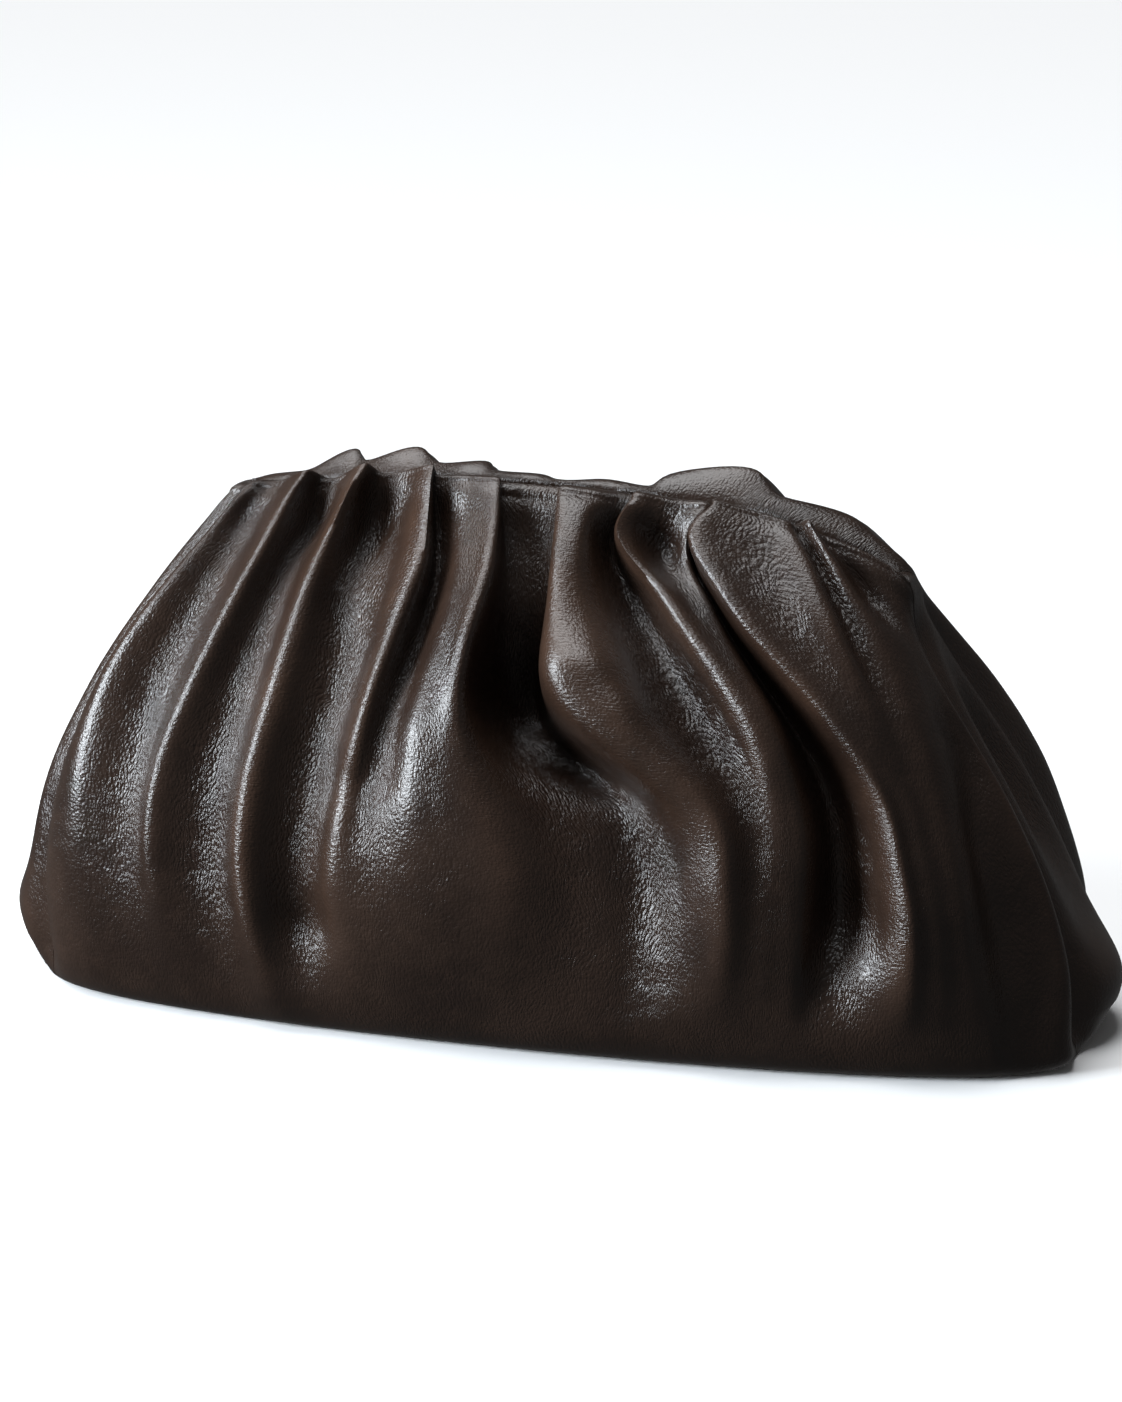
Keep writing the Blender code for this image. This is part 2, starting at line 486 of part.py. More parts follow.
def build():
    clear_scene()
    pouch = bpy.data.collections.new("pouch_bag")
    bpy.context.scene.collection.children.link(pouch)
    leather = material("brown_leather", LEATHER, 0.38)
    underside = material("base_leather", BASE_LEATHER, 0.55)
    steel = material("frame_steel", STEEL, 0.35, 1.0)
    front, front_place = panel_rows(FRONT_FOLDS, FRONT)
    back, back_place = panel_rows(BACK_FOLDS, BACK)
    left, left_hem = gusset_rows(-1, front[:, 0], back[:, 0], FRONT_LEFT_SEAM, BACK_LEFT_SEAM)
    right, right_hem = gusset_rows(1, front[:, -1], back[:, -1], FRONT_RIGHT_SEAM, BACK_RIGHT_SEAM)
    loop = (
        ("front_panel", front, hem_line(front_place[-1], FRONT, HEM_INSET)),
        ("right_gusset", right, right_hem),
        ("back_panel", back[:, ::-1], hem_line(back_place[-1, ::-1], BACK, HEM_INSET)),
        ("left_gusset", left[:, ::-1], left_hem[::-1]),
    )
    for index, (name, rows, hem) in enumerate(loop):
        before, after = loop[index - 1][1], loop[(index + 1) % len(loop)][1]
        gaps = seam_gap(before, rows), seam_gap(rows, after)
        sheet_object(name, trimmed(with_rolled_rim(rows, hem), *gaps), leather, pouch)
    base_panel([rows[0] for _, rows, _ in loop], underside, pouch)
    mouth_frame(steel, pouch)


build()
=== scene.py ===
"""Gathered leather pouch bag on a pale studio floor.

Metres, +Z up, origin at the middle of the base's underside; the front faces -Y.
"""

import math

import bpy
import numpy as np
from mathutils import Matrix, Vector


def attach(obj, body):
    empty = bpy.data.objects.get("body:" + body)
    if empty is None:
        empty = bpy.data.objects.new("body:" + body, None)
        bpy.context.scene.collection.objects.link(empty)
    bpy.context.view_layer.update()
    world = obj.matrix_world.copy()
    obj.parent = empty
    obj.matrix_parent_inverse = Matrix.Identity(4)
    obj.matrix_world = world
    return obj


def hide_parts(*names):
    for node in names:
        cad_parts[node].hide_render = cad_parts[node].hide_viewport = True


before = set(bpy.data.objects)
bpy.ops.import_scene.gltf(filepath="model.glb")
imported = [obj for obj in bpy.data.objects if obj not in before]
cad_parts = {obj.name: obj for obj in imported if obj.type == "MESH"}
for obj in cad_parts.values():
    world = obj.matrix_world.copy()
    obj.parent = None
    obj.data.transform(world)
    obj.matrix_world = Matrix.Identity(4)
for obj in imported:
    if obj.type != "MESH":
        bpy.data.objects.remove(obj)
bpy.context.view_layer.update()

# Camera. A long lens a little above the bag and turned to its right, so that the
# front, the gathered rim and a little of the right end show.
CAMERA_TARGET = Vector((-0.003, 0.0, 0.1045))
CAMERA_DISTANCE = 1.64
CAMERA_LENS, CAMERA_SENSOR = 120, 36
CAMERA_AZIMUTH, CAMERA_ELEVATION = math.radians(15), math.radians(17)

away = Vector((
    math.sin(CAMERA_AZIMUTH) * math.cos(CAMERA_ELEVATION),
    -math.cos(CAMERA_AZIMUTH) * math.cos(CAMERA_ELEVATION),
    math.sin(CAMERA_ELEVATION),
))
bpy.ops.object.camera_add(location=CAMERA_TARGET + away * CAMERA_DISTANCE)
camera = bpy.context.object
camera.rotation_euler = (-away).to_track_quat("-Z", "Y").to_euler()
camera.data.lens, camera.data.sensor_width = CAMERA_LENS, CAMERA_SENSOR
bpy.context.scene.camera = camera

# Front panel. One piece of soft brown leather with its lining, gathered into deep
# overlapping pleats at the rim, which fall into folds that open out towards the base.
# It is rolled over the steel frame of the mouth and hemmed inside.
BODY_LENGTH = 0.386
BODY_DEPTH = 0.160
RIM_HEIGHT = 0.1815
RIM_LENGTH = 0.244
MOUTH_GAP = 0.0072
RIM_ARCH = 0.0113
RIM_TILT = 0.0037
RIM_DROOP = 0.0100
END_DRAW = 0.0176
WALL = 0.0018
SEAM_GAP = 0.0004
SEAM_DIP = 0.0050
SEAM_REACH = 0.0110
ROLL_HEIGHT = 0.0026
HEM_DROP = 0.0130
HEM_INSET = 0.0064
RIM_DEPTH = MOUTH_GAP + 2 * HEM_INSET
FOLD_HEIGHT = 0.0170
PLEAT_LAP = 0.0080
RIM_STEP = 0.0050
FOOT_BAND = 0.13
RIM_BAND = 0.13
RIM_ROUND = 0.0016
ROUND_BAND = 0.045
FRONT, BACK = -1, 1
PLACE_STEP, LEVEL_STEP = 0.001, 0.02

# Levels of the smooth body: how far up, then the height, the depth and the length as
# shares from the rim to the body, the fullness, and the share of the right end's draw
LEVELS = np.array((
    (0.00, 0.000, 0.84, 0.92, 0.40, 0.00),
    (0.06, 0.018, 0.90, 0.945, 0.40, 0.00),
    (0.13, 0.065, 0.96, 0.972, 0.42, 0.18),
    (0.26, 0.200, 1.00, 1.00, 0.46, 0.55),
    (0.42, 0.400, 0.92, 0.93, 0.48, 0.95),
    (0.60, 0.610, 0.71, 0.70, 0.46, 1.00),
    (0.78, 0.805, 0.40, 0.38, 0.40, 0.73),
    (0.92, 0.945, 0.10, 0.12, 0.26, 0.27),
    (1.00, 1.000, 0.00, 0.00, 0.12, 0.00),
))
STATIONS = (0.12, 0.26, 0.38, 0.50, 0.64, 0.82, 0.91, 1.00)

# One row for each ridge or hollow, from left to right: its places at the stations, its
# heights there in FOLD_HEIGHTs, its lift at the rim in RIM_STEPs, its lap to the right
# (or to the left, below zero) in PLEAT_LAPs, and its breadth beside its neighbours
FRONT_FOLDS = (
    ((-0.82, -0.82, -0.82, -0.82, -0.82, -0.82, -0.82, -0.82),
     (0.0, 0.0, 0.0, 0.0, 0.0, 0.0, 0.04, 0.1), 0.0, 0.0, 1.0),
    ((-0.63, -0.63, -0.64, -0.67, -0.71, -0.75, -0.762, -0.77),
     (0.1, 0.2, 0.4, 0.55, 0.65, 0.6, 0.5, 0.3), 0.2, 0.3, 1.1),
    ((-0.51, -0.51, -0.53, -0.55, -0.58, -0.62, -0.645, -0.67),
     (0.0, 0.05, 0.05, 0.05, 0.05, 0.05, 0.04, 0.1), 0.2, 0.0, 1.0),
    ((-0.44, -0.46, -0.485, -0.5, -0.505, -0.53, -0.54, -0.555),
     (0.0, 0.15, 0.4, 0.5, 0.55, 0.55, 0.6, 0.5), 0.7, 0.4, 0.8),
    ((-0.36, -0.375, -0.395, -0.41, -0.425, -0.462, -0.475, -0.51),
     (-0.05, -0.15, -0.25, -0.15, -0.15, -0.15, -0.3, 0.0), 0.2, 0.0, 0.9),
    ((-0.3, -0.315, -0.335, -0.345, -0.36, -0.395, -0.398, -0.405),
     (0.1, 0.35, 0.55, 0.6, 0.65, 0.7, 0.8, 0.5), 1.2, 0.5, 0.7),
    ((-0.25, -0.262, -0.275, -0.275, -0.275, -0.325, -0.348, -0.366),
     (0.0, -0.3, -0.4, -0.35, -0.3, -0.2, -0.4, 0.0), 0.7, 0.0, 0.9),
    ((-0.195, -0.205, -0.215, -0.21, -0.213, -0.21, -0.238, -0.27),
     (0.0, 0.1, 0.35, 0.55, 0.75, 0.85, 0.75, 0.5), 1.1, 0.9, 0.7),
    ((-0.16, -0.165, -0.17, -0.178, -0.178, -0.185, -0.218, -0.252),
     (0.0, 0.1, 0.3, 0.15, -0.1, -0.3, -0.21, 0.1), 0.5, 0.0, 0.8),
    ((-0.1, -0.1, -0.1, -0.12, -0.13, -0.135, -0.151, -0.17),
     (0.0, 0.2, 0.5, 0.7, 0.6, 0.4, 0.34, 0.3), 0.4, 0.0, 1.2),
    ((-0.02, -0.01, 0.0, -0.04, -0.085, -0.1, -0.118, -0.14),
     (0.0, 0.2, 0.5, 0.7, 0.9, 0.8, 0.62, 0.4), 0.3, 0.8, 0.8),
    ((0.09, 0.11, 0.1, 0.065, -0.05, -0.065, -0.091, -0.122),
     (0.0, -0.1, -0.3, -0.5, -1.2, -0.5, -0.24, 0.0), -0.2, 0.0, 0.9),
    ((0.14, 0.155, 0.155, 0.13, -0.002, -0.01, -0.008, -0.005),
     (0.0, -0.3, -0.65, -0.8, -1.6, -0.6, -0.28, 0.0), -0.3, 0.0, 0.9),
    ((0.19, 0.215, 0.225, 0.205, 0.052, 0.035, 0.028, 0.02),
     (0.0, 0.0, 0.2, 0.4, 1.0, 0.8, 0.61, 0.4), 0.0, -0.6, 0.8),
    ((0.24, 0.255, 0.265, 0.26, 0.14, 0.065, 0.058, 0.06),
     (0.0, 0.25, 0.55, 0.7, 1.0, 0.8, 0.59, 0.35), -0.1, 0.0, 1.2),
    ((0.285, 0.29, 0.3, 0.295, 0.225, 0.14, 0.09, 0.125),
     (0.0, 0.1, 0.2, 0.1, -0.3, -0.7, -0.5, 0.0), 0.0, 0.0, 1.0),
    ((0.31, 0.315, 0.33, 0.34, 0.32, 0.205, 0.125, 0.155),
     (0.0, 0.05, 0.15, 0.3, 0.7, 0.9, 0.8, 0.5), 0.2, -0.6, 0.6),
    ((0.33, 0.335, 0.355, 0.365, 0.345, 0.245, 0.18, 0.22),
     (0.0, 0.0, 0.1, 0.25, 0.6, 0.1, -0.2, 0.15), 0.2, 0.0, 0.9),
    ((0.345, 0.355, 0.38, 0.395, 0.37, 0.268, 0.222, 0.272),
     (0.0, -0.05, 0.0, 0.15, 0.4, 0.2, 0.25, 0.35), 0.4, 0.3, 0.6),
    ((0.37, 0.385, 0.415, 0.43, 0.4, 0.288, 0.242, 0.297),
     (0.0, -0.45, -1.0, -1.0, -0.9, -0.7, -0.35, 0.0), 0.0, 0.0, 0.8),
    ((0.5, 0.52, 0.535, 0.535, 0.48, 0.318, 0.262, 0.316),
     (0.0, 0.35, 0.6, 0.6, 0.7, 0.9, 0.75, 0.5), 0.5, -0.6, 0.8),
    ((0.54, 0.55, 0.56, 0.56, 0.53, 0.42, 0.39, 0.39),
     (0.0, 0.2, 0.4, 0.4, 0.6, 0.5, 0.41, 0.3), 0.4, 0.0, 1.2),
    ((0.57, 0.575, 0.585, 0.585, 0.565, 0.505, 0.475, 0.45),
     (0.0, 0.2, 0.4, 0.4, 0.5, 0.8, 0.65, 0.4), 0.15, 0.3, 0.9),
    ((0.60, 0.60, 0.61, 0.61, 0.6, 0.55, 0.51, 0.475),
     (0.0, 0.1, 0.3, 0.3, 0.4, 0.2, 0.14, 0.1), 0.2, 0.0, 1.0),
    ((0.63, 0.63, 0.64, 0.65, 0.66, 0.61, 0.55, 0.505),
     (0.0, 0.1, 0.3, 0.3, 0.4, 0.4, 0.5, 0.4), 0.9, 0.0, 0.9),
    ((0.67, 0.67, 0.68, 0.7, 0.73, 0.71, 0.64, 0.54),
     (0.0, 0.0, 0.1, 0.1, 0.2, 0.25, -0.15, 0.05), 0.1, 0.0, 0.8),
    ((0.72, 0.73, 0.74, 0.76, 0.83, 0.81, 0.78, 0.72),
     (-0.1, -0.25, -0.3, -0.25, -0.1, 0.1, 0.1, 0.1), 0.35, 0.0, 1.6),
    ((0.86, 0.87, 0.88, 0.885, 0.9, 0.88, 0.87, 0.86),
     (0.2, 0.4, 0.4, 0.3, 0.2, 0.1, 0.1, 0.1), 0.4, 0.0, 1.0),
    ((0.95, 0.95, 0.95, 0.95, 0.95, 0.95, 0.95, 0.95),
     (0.0, 0.0, 0.0, 0.0, 0.0, 0.0, 0.04, 0.1), 0.1, 0.0, 1.0),
)

# Single dents and swells of the gathers: place, level, how far each reaches in both,
# how far it leans, and its height
FRONT_PUSHES = (
    (0.030, 0.680, 0.045, 0.045, 0.0, 0.0040),
    (0.080, 0.800, 0.040, 0.070, 0.0, -0.0045),
    (-0.025, 0.660, 0.032, 0.075, 0.0, -0.0105),
    (-0.100, 0.740, 0.022, 0.090, -0.2, 0.0025),
    (0.030, 0.575, 0.040, 0.028, 0.0, -0.0060),
    (0.085, 0.545, 0.045, 0.030, -0.6, -0.0055),
    (0.107, 0.700, 0.035, 0.028, 0.0, 0.0030),
    (0.158, 0.648, 0.032, 0.035, 0.0, 0.0030),
    (0.190, 0.910, 0.020, 0.045, -0.2, -0.0060),
    (0.240, 0.890, 0.014, 0.030, 0.0, -0.0040),
    (-0.203, 0.500, 0.030, 0.035, 0.0, -0.0040),
    (-0.150, 0.600, 0.040, 0.060, -0.5, 0.0025),
    (-0.257, 0.280, 0.040, 0.050, 0.0, -0.0035),
    (0.430, 0.340, 0.050, 0.080, 0.0, -0.0040),
)

ROWS_UP = np.concatenate((np.linspace(0, 0.13, 22)[:-1], np.linspace(0.13, 1.0, 136)))
ROLL_ROWS = 9
HEM_ROWS = 3
FRONT_COLUMNS = 225
STRAIGHT = 0.30
FALLING_SHARE, RISING_SHARE = 0.95, 1.1
CREASE_SEED = 7
FRONT_CREASES = 260
CREASE_LENGTHS, CREASE_WIDTHS, CREASE_DEPTHS = (0.015, 0.060), (0.0035, 0.0080), (0.0001, 0.0004)
RELAX_STEPS = 6
EASE_ACROSS, EASE_UP, RIM_CRISPNESS = 0.25, 0.15, 0.12
CREST_REACH, CREST_GAIN = 7, 2.5
FOLD_ANGLE = math.radians(60)


def smooth_through(marks, values, at):
    """Values at the marks joined by a smooth curve, read at the given places."""
    marks, values = np.asarray(marks, float), np.asarray(values, float)
    slopes = np.diff(values) / np.diff(marks)
    tangents = np.concatenate([slopes[:1], (slopes[:-1] + slopes[1:]) / 2, slopes[-1:]])
    tangents[np.flatnonzero(slopes[:-1] * slopes[1:] <= 0) + 1] = 0.0
    at = np.clip(at, marks[0], marks[-1])
    i = np.clip(np.searchsorted(marks, at, side="right") - 1, 0, len(marks) - 2)
    step = marks[i + 1] - marks[i]
    u = (at - marks[i]) / step
    start = (2 * u**3 - 3 * u**2 + 1) * values[i] + (u**3 - 2 * u**2 + u) * step * tangents[i]
    end = (3 * u**2 - 2 * u**3) * values[i + 1] + (u**3 - u**2) * step * tangents[i + 1]
    return start + end


def level_at(up):
    """Height, half depth, half length, fullness and end draw of the plan at a level."""
    height, depth, length, fullness, draw = (
        smooth_through(LEVELS[:, 0], LEVELS[:, k], up) for k in range(1, 6)
    )
    half_depth = (RIM_DEPTH + (BODY_DEPTH - RIM_DEPTH) * depth) / 2
    half_length = (RIM_LENGTH + (BODY_LENGTH - RIM_LENGTH) * length) / 2
    return height * RIM_HEIGHT, half_depth, half_length, fullness, draw * END_DRAW


def plan_y_share(place, fullness):
    return np.maximum(np.cos(np.pi * place / 2), 0.0) ** fullness


def drawn_x(half_length, draw, x_share):
    """Distance along the bag, shortened towards the drawn-in right end."""
    return half_length * x_share - draw * np.maximum(x_share, 0.0) ** 2


def raised(height, x_share):
    """Height with the rim's arch, tilt and droop, which fade towards the ground."""
    share = height / RIM_HEIGHT
    droop = RIM_DROOP * np.maximum(x_share, 0.0) ** 6
    return height - (RIM_ARCH * x_share**2 + RIM_TILT * x_share + droop) * share**2


def body_point(place, up, side):
    """The smooth body without folds, at a place on its front or back half."""
    height, half_depth, half_length, fullness, draw = level_at(up)
    x_share = np.sin(np.pi * place / 2)
    x = drawn_x(half_length, draw, x_share)
    y = side * half_depth * plan_y_share(place, fullness)
    return np.stack(np.broadcast_arrays(x, y, raised(height, x_share)), -1)


def unit(vectors):
    return vectors / np.linalg.norm(vectors, axis=-1, keepdims=True)


def body_directions(place, up, side):
    """Outward and left-to-right directions of the smooth body."""
    across = body_point(place + PLACE_STEP, up, side) - body_point(place - PLACE_STEP, up, side)
    low, high = np.maximum(up - LEVEL_STEP, 0.0), np.minimum(up + LEVEL_STEP, 1.0)
    along = body_point(place, high, side) - body_point(place, low, side)
    outward = np.cross(across, along) * -side
    outward[..., 2] = np.maximum(outward[..., 2], 0.0)
    return unit(outward), unit(across)


def fold_grid(folds, up, columns_in_all):
    """Place, height, lift and lap of every column of a panel, at each of its rows."""
    def at_stations(values, foot):
        return smooth_through((0.0, *STATIONS), (foot, *values), up)

    places = np.stack([at_stations(f[0], f[0][0]) for f in folds], 1)
    heights = np.stack([at_stations(f[1], 0.0) for f in folds], 1) * FOLD_HEIGHT
    lap_fade = np.clip((up - STATIONS[3]) / (STATIONS[5] - STATIONS[3]), 0.0, 1.0)
    laps = np.stack([f[3] * PLEAT_LAP * lap_fade for f in folds], 1)
    near_rim = np.clip((up - 1.0) / RIM_BAND + 1.0, 0.0, 1.0)
    lifts = np.stack([f[2] * RIM_STEP * near_rim for f in folds], 1)
    tables = places, heights, lifts, laps
    widths = np.diff(places, axis=1).mean(0)
    columns = [[] for _ in tables]
    for k, width in enumerate(widths):
        falls = folds[k][1][4] > folds[k + 1][1][4]
        middle = folds[k][4] / (folds[k][4] + folds[k + 1][4]) * (FALLING_SHARE if falls else RISING_SHARE)
        count = max(5, round(columns_in_all * width / widths.sum()))
        for share in np.arange(count) / count:
            bent = share ** (np.log(0.5) / np.log(middle))
            eased = (1 - STRAIGHT) * (1 - np.cos(np.pi * bent)) / 2 + STRAIGHT * bent
            for column, table, part in zip(columns, tables, (share, eased, eased, eased)):
                column.append(table[:, k] + (table[:, k + 1] - table[:, k]) * part)
    for column, table in zip(columns, tables):
        column.append(table[:, -1])
    return [np.stack(column, 1) for column in columns]


def seam_weights(points):
    """How strongly each point of a panel's rows follows its first and its last edge."""
    steps = np.linalg.norm(np.diff(points, axis=1), axis=-1)
    from_first = np.concatenate([np.zeros((len(points), 1)), np.cumsum(steps, 1)], 1)
    from_last = from_first[:, -1:] - from_first
    return [np.exp(-2 * (distance / SEAM_REACH) ** 2) for distance in (from_first, from_last)]


def dip_fade(up):
    return np.clip(up / FOOT_BAND, 0.0, 1.0) * np.clip((1.0 - up) / RIM_BAND, 0.0, 1.0)


def creases(place, up, height, seed, count):
    """Small creases along the folds, most of them in the hollows and on the steep sides."""
    chance = np.random.default_rng(seed)
    depth = np.zeros_like(place)
    steep = np.abs(np.gradient(height, axis=1)) / (np.abs(np.gradient(place, axis=1)) + 1e-6)
    pull = np.clip(0.15 + 0.9 * np.clip(-height / FOLD_HEIGHT, 0, 1) + steep * 1.2, 0, 2)
    pull *= np.clip((up - 0.10) / 0.15, 0, 1) * np.clip((0.99 - up) / 0.05, 0, 1)
    flat = pull.ravel() * np.gradient(place, axis=1).ravel()
    picks = chance.choice(flat.size, size=count, p=flat / flat.sum())
    for pick in picks:
        centre_place, centre_up = place.flat[pick], up.flat[pick]
        reach_up, reach_across = chance.uniform(*CREASE_LENGTHS), chance.uniform(*CREASE_WIDTHS)
        lean = chance.normal(0.0, 0.25) - 0.25 * centre_place
        strength = chance.uniform(*CREASE_DEPTHS)
        a = (place - centre_place - lean * (up - centre_up)) / reach_across
        b = (up - centre_up) / reach_up
        near = np.exp(-(a**2) / 2 - b**2)
        depth -= strength * near * (1 - 0.5 * a**2)
    return depth


def relaxed(points, crisp):
    """Draws each point towards its neighbours, as leather rounds its own bends."""
    ease = EASE_ACROSS - RIM_CRISPNESS * crisp * np.clip((ROWS_UP[:, None, None] - 0.80) / 0.20, 0, 1)
    for _ in range(RELAX_STEPS):
        points[:, 1:-1] += ease * (points[:, :-2] + points[:, 2:] - 2 * points[:, 1:-1])
        points[1:-1] += EASE_UP * (points[:-2] + points[2:] - 2 * points[1:-1])
    return points


def pushed(place, up, pushes):
    """Heights of the single dents and swells."""
    height = np.zeros_like(place)
    for at_place, at_up, reach_place, reach_up, lean, rise in pushes:
        a = (place - at_place - lean * (up - at_up)) / reach_place
        b = (up - at_up) / reach_up
        height += rise * np.exp(-(a**2) - b**2)
    return height


def crest_share(height):
    """How far each point stands above (or lies below) the leather to its left and right."""
    span = 2 * CREST_REACH
    wide = np.pad(height, ((0, 0), (CREST_REACH, CREST_REACH)), mode="edge").cumsum(1)
    around = (wide[:, span:] - np.pad(wide, ((0, 0), (1, 0)))[:, :-span - 1]) / (span + 1)
    return CREST_GAIN * (height - around) / FOLD_HEIGHT


def panel_rows(folds, pushes, side, columns_in_all, seed, count):
    """Rows of points of a panel's outer face, from the under edge to the rim."""
    place, height, lift, lap = fold_grid(folds, ROWS_UP, columns_in_all)
    level = np.repeat(ROWS_UP[:, None], place.shape[1], 1)
    points = body_point(place, level, side)
    outward, across = body_directions(place, level, side)
    fold = crest_share(height)
    height = height - SEAM_DIP * np.maximum(*seam_weights(points)) * dip_fade(level)
    height = height + pushed(place, level, pushes) + creases(place, level, height, seed, count)
    height = height - RIM_ROUND * np.clip((level - 1.0) / ROUND_BAND + 1.0, 0.0, 1.0) ** 2
    points = points + outward * height[..., None] + across * lap[..., None]
    points[..., 2] += lift
    return relaxed(points, side == FRONT), place, fold


def hem_line(place, side, inset):
    """A line inside the rim at a named inset from its outer face."""
    _, half_depth, half_length, fullness, _ = level_at(np.array(1.0))
    x_share = np.sin(np.pi * place / 2)
    x = (half_length - inset) * x_share
    y = side * np.maximum(half_depth * plan_y_share(place, fullness) - inset, 0.0)
    return np.stack([x, y, raised(RIM_HEIGHT, x_share)], -1)


def with_rolled_rim(points, inner):
    """Adds the roll over the rim and the hem that hangs inside the mouth."""
    outer = points[-1]
    middle, half = (outer + inner) / 2, (outer - inner) / 2
    rows = [points]
    for turn in np.linspace(0, np.pi, ROLL_ROWS + 2)[1:-1]:
        arc = middle + half * np.cos(turn)
        arc[:, 2] += ROLL_HEIGHT * np.sin(turn)
        rows.append(arc[None])
    for share in np.linspace(0, 1, HEM_ROWS + 1):
        rows.append((inner - (0, 0, HEM_DROP * share))[None])
    return np.concatenate(rows, 0)


def trimmed(points):
    """Draws the side and under edges back from their seams."""
    points = points.copy()
    points[:, 0] += unit(points[:, 1] - points[:, 0]) * SEAM_GAP / 2
    points[:, -1] += unit(points[:, -2] - points[:, -1]) * SEAM_GAP / 2
    points[0] += unit(points[1] - points[0]) * SEAM_GAP / 2
    return points


def leather_panel(node, points, fold, finish):
    """A grid of leather bent to the panel's rows of points, given its wall and its finish."""
    rows, columns = points.shape[:2]
    bpy.ops.object.select_all(action="DESELECT")
    bpy.ops.mesh.primitive_grid_add(x_subdivisions=columns - 1, y_subdivisions=rows - 1, size=1.0)
    piece = bpy.context.object
    piece.name = piece.data.name = node + "_leather"
    assert len(piece.data.vertices) == rows * columns
    piece.data.vertices.foreach_set("co", points.reshape(-1))
    fold = np.pad(fold, ((0, rows - len(fold)), (0, 0)), mode="edge")
    piece.data.attributes.new("fold", "FLOAT", "POINT").data.foreach_set("value", fold.reshape(-1))
    across = np.linalg.norm(np.diff(points, axis=1), axis=-1).mean(0).cumsum()
    along = np.linalg.norm(np.diff(points, axis=0), axis=-1).mean(1).cumsum()
    u, v = np.meshgrid(np.concatenate([[0.0], across]), np.concatenate([[0.0], along]))
    corners = np.zeros(len(piece.data.loops), int)
    piece.data.loops.foreach_get("vertex_index", corners)
    laid = np.stack([u.ravel(), v.ravel()], 1)[corners]
    piece.data.uv_layers[0].data.foreach_set("uv", laid.reshape(-1))
    piece.data.update()
    wall = piece.modifiers.new("wall", "SOLIDIFY")
    wall.thickness, wall.offset = WALL, -1.0
    bpy.ops.object.modifier_apply(modifier="wall")
    bpy.ops.object.shade_smooth_by_angle(angle=FOLD_ANGLE)
    piece.data.materials.append(finish)
    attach(piece, "root")
    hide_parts(node)
    return piece


class Shade:
    """An output of a shader's nodes, which takes part in Python arithmetic."""

    def __init__(self, tree, socket=None):
        self.tree, self.socket = tree, socket

    def node(self, kind, settings, sockets, output=0):
        made = self.tree.nodes.new("ShaderNode" + kind)
        for name, value in settings.items():
            if name == "stops":
                ramp = made.color_ramp.elements
                for place, colour in value[1:-1]:
                    ramp.new(place)
                for stop, (place, colour) in zip(ramp, value):
                    stop.position, stop.color = place, colour
            else:
                setattr(made, name, value)
        for name, value in sockets.items():
            if isinstance(value, Shade):
                self.tree.links.new(value.socket, made.inputs[name])
            else:
                made.inputs[name].default_value = value
        return Shade(self.tree, made.outputs[output])

    def sum(self, operation, *values):
        return self.node("Math", {"operation": operation}, dict(enumerate(values)))

    def __add__(self, other):
        return self.sum("ADD", self, other)

    def __sub__(self, other):
        return self.sum("SUBTRACT", self, other)

    def __rsub__(self, other):
        return self.sum("SUBTRACT", other, self)

    def __mul__(self, other):
        return self.sum("MULTIPLY", self, other)

    __radd__, __rmul__ = __add__, __mul__

    def clipped(self, low, high):
        return self.node("MapRange", {}, {"Value": self, "From Min": low, "From Max": high})


def finish_of(name):
    """A new material, and a start for its expressions."""
    made = bpy.data.materials.new(name)
    made.use_nodes = True
    return made, Shade(made.node_tree)


def mix_colour(shade, factor, one, two):
    return shade.node("Mix", {"data_type": "RGBA"}, {0: factor, 6: one, 7: two}, 2)


def principled(made, shade, uniform, varying):
    shader = made.node_tree.nodes["Principled BSDF"]
    for name, value in uniform.items():
        shader.inputs[name].default_value = value
    for name, value in varying.items():
        shade.tree.links.new(value.socket, shader.inputs[name])


LEATHER_DARK = (0.0165, 0.0094, 0.0067, 1.0)
LEATHER_MIDDLE = (0.032, 0.0186, 0.0130, 1.0)
# Lighter, warmer brown of the raised crests: partly burnished wear, partly painted light where the crests
# face the lamps
LEATHER_LIT_CREST_AND_WEAR = (0.066, 0.036, 0.023, 1.0)
GRAIN_RELIEF = 0.00040

brown_leather, shade = finish_of("brown_leather")
on_bag = shade.node("TexCoord", {}, {}, "Object")
on_panel = shade.node("TexCoord", {}, {}, "UV")
fold = shade.node("Attribute", {"attribute_name": "fold"}, {}, "Fac")
hollow = (fold * -1.0).clipped(-0.25, 0.45)
crest = fold.clipped(0.15, 0.75)
wander = shade.node("TexNoise", {}, {"Vector": on_bag, "Scale": 60.0, "Detail": 2.0}, "Color")
drift = shade.node("VectorMath", {"operation": "MULTIPLY_ADD"},
                   {0: wander, 1: (0.008, 0.004, 0.0), 2: on_panel})
along = shade.node("Mapping", {}, {"Vector": drift, "Scale": (1450.0, 480.0, 1.0)})
wrinkle = shade.node("TexVoronoi", {"voronoi_dimensions": "2D", "feature": "F1"},
                     {"Vector": along, "Scale": 1.0, "Randomness": 1.0}, "Distance")
fine = shade.node("TexNoise", {"noise_dimensions": "2D"}, {
    "Vector": along, "Scale": 1.7, "Detail": 4.0, "Roughness": 0.6, "Distortion": 0.4})
over = shade.node("Mapping", {}, {"Vector": drift, "Scale": (480.0, 1600.0, 1.0)})
pucker = shade.node("TexNoise", {"noise_dimensions": "2D"}, {
    "Vector": over, "Scale": 1.0, "Detail": 3.0, "Roughness": 0.55, "Distortion": 0.3})
pebble = shade.node("TexVoronoi", {"feature": "F1"}, {"Vector": on_bag, "Scale": 950.0}, "Distance")
soft = shade.node("TexNoise", {}, {"Vector": on_bag, "Scale": 22.0, "Detail": 4.0, "Roughness": 0.6})
